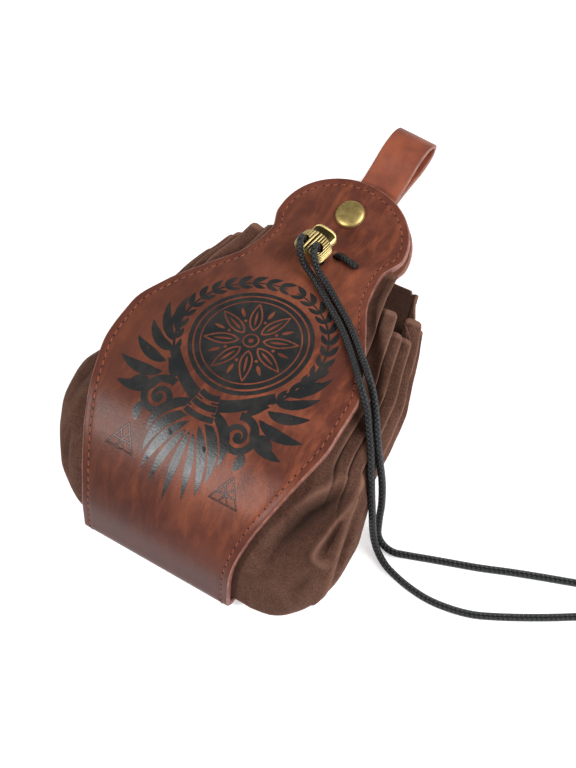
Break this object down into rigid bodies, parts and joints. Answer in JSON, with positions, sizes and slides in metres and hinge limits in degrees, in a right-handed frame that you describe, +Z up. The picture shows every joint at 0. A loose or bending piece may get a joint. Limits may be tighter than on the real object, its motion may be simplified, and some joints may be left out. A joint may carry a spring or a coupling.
{
  "type": "drawstring belt pouch",
  "caption": "Leather belt pouch lying on its back: gathered suede bag wrapped in one stitched strap, with belt loop, brass snap, cord lock and two loose cords.",
  "frame": {"origin": "middle of the back panel's rest face, on the surface that the pouch lies on", "axes": "+Z up out of the front panel, +Y from the bottom fold to the belt loop, +X to the right seen from the front"},
  "size_m": [0.2287, 0.207, 0.0403],
  "materials": {
    "leather": "semi-gloss, reddish brown",
    "suede": "napped, dark brown",
    "brass": "antique, satin",
    "waxed_cord": "waxed, near black"
  },
  "bodies": {
    "pouch": {"leather_wrap": "leather", "bag": "suede", "belt_loop": "leather", "snap_cap": "brass", "snap_back": "brass", "cord_lock_barrel": "brass", "cord_left": "waxed_cord", "cord_right": "waxed_cord", "cord_stub": "waxed_cord", "knot_left": "waxed_cord", "knot_right": "waxed_cord"},
    "lock_button": {"cord_lock_button": "brass"}
  },
  "joints": [
    {"name": "cord_lock_press", "type": "slide", "parent": "pouch", "child": "lock_button", "axis": [-0.1564, -0.9507, 0.2679], "range_m": [0, 0.002], "stiffness_N_per_m": 400, "springref_m": -0.001}
  ]
}
